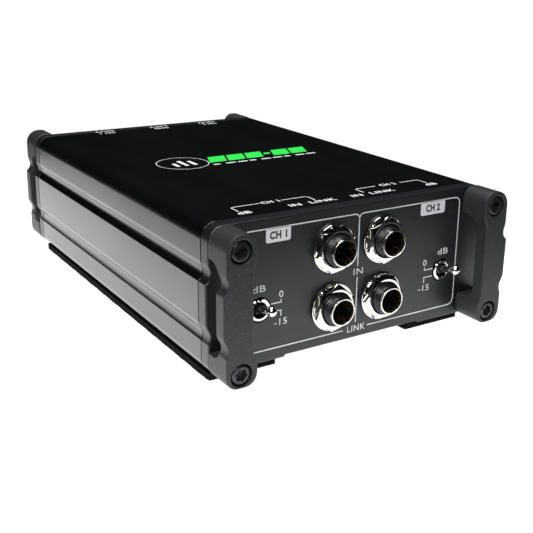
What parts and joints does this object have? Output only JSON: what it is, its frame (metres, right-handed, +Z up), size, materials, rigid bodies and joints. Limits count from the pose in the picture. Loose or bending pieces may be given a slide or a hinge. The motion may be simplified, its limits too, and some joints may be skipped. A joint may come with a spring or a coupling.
{
  "type": "stereo direct injection box",
  "caption": "Passive stereo direct box: an extruded aluminium case with end panels, corner brackets, phone jacks, toggle pads and three-pin outputs.",
  "frame": {"origin": "middle of the rectangle that the whole box stands on, at the underside of the base pads", "axes": "+Z up; +Y along the case from the jack panel at -Y to the output panel at +Y; +X to the right of a person who faces the jack panel"},
  "size_m": [0.1, 0.1626, 0.0444],
  "materials": {
    "case_anodised": "fine-grained satin black anodising",
    "panel_grey": "dark grey brushed and anodised",
    "bracket_black": "fine textured dark grey powder coat on a zinc casting",
    "chrome_plate": "polished chrome plate",
    "black_oxide": "black oxide",
    "black_nylon": "moulded glass-filled nylon, matte",
    "pad_rubber": "embossed black rubber",
    "spring_brass": "bright stamped spring brass",
    "silver_plate": "silver plate",
    "board_green": "green solder mask on glass-epoxy",
    "switch_resin": "red moulded resin",
    "shield_can": "drawn nickel-iron shield can",
    "ribbon_grey": "flat ribbon insulation",
    "print_white": "pale grey screen print",
    "print_green": "green screen print"
  },
  "bodies": {
    "case": {"base_pad_left": "pad_rubber", "base_pad_right": "pad_rubber", "board_link": "ribbon_grey", "bracket_screw_front_left_lower": "black_oxide", "bracket_screw_front_left_upper": "black_oxide", "bracket_screw_front_right_lower": "black_oxide", "bracket_screw_front_right_upper": "black_oxide", "bracket_screw_rear_left_lower": "black_oxide", "bracket_screw_rear_left_upper": "black_oxide", "bracket_screw_rear_right_lower": "black_oxide", "bracket_screw_rear_right_upper": "black_oxide", "case_extrusion": "case_anodised", "corner_bracket_front_left": "bracket_black", "corner_bracket_front_right": "bracket_black", "corner_bracket_rear_left": "bracket_black", "corner_bracket_rear_right": "bracket_black", "front_panel": "panel_grey", "ground_lift_switch_body": "switch_resin", "ground_lift_switch_bushing": "chrome_plate", "jack_housing_input_left": "black_nylon", "jack_housing_input_right": "black_nylon", "jack_housing_thru_left": "black_nylon", "jack_housing_thru_right": "black_nylon", "jack_nut_input_left": "chrome_plate", "jack_nut_input_right": "chrome_plate", "jack_nut_thru_left": "chrome_plate", "jack_nut_thru_right": "chrome_plate", "jack_sleeve_ring_input_left": "chrome_plate", "jack_sleeve_ring_input_right": "chrome_plate", "jack_sleeve_ring_thru_left": "chrome_plate", "jack_sleeve_ring_thru_right": "chrome_plate", "jack_tip_contact_input_left": "spring_brass", "jack_tip_contact_input_right": "spring_brass", "jack_tip_contact_thru_left": "spring_brass", "jack_tip_contact_thru_right": "spring_brass", "main_board": "board_green", "output_housing_left": "black_nylon", "output_housing_right": "black_nylon", "output_pin_left_1": "silver_plate", "output_pin_left_2": "silver_plate", "output_pin_left_3": "silver_plate", "output_pin_right_1": "silver_plate", "output_pin_right_2": "silver_plate", "output_pin_right_3": "silver_plate", "output_screw_left_lower": "black_oxide", "output_screw_left_upper": "black_oxide", "output_screw_right_lower": "black_oxide", "output_screw_right_upper": "black_oxide", "pad_switch_left_body": "switch_resin", "pad_switch_left_bushing": "chrome_plate", "pad_switch_right_body": "switch_resin", "pad_switch_right_bushing": "chrome_plate", "rear_board": "board_green", "rear_panel": "panel_grey", "transformer_left": "shield_can", "transformer_right": "shield_can"},
    "ground_lift_switch_toggle": {"ground_lift_switch_lever": "chrome_plate"},
    "pad_switch_left_toggle": {"pad_switch_left_lever": "chrome_plate"},
    "pad_switch_right_toggle": {"pad_switch_right_lever": "chrome_plate"}
  },
  "joints": [
    {"name": "pad_switch_left_throw", "type": "hinge", "parent": "case", "child": "pad_switch_left_toggle", "pos_m": [-0.0333, -0.0695, 0.0185], "axis": [1, 0, 0], "range_deg": [0, 25]},
    {"name": "pad_switch_right_throw", "type": "hinge", "parent": "case", "child": "pad_switch_right_toggle", "pos_m": [0.0333, -0.0695, 0.0185], "axis": [1, 0, 0], "range_deg": [0, 25]},
    {"name": "ground_lift_switch_throw", "type": "hinge", "parent": "case", "child": "ground_lift_switch_toggle", "pos_m": [0, 0.0695, 0.02335], "axis": [-1, 0, 0], "range_deg": [0, 25]}
  ]
}
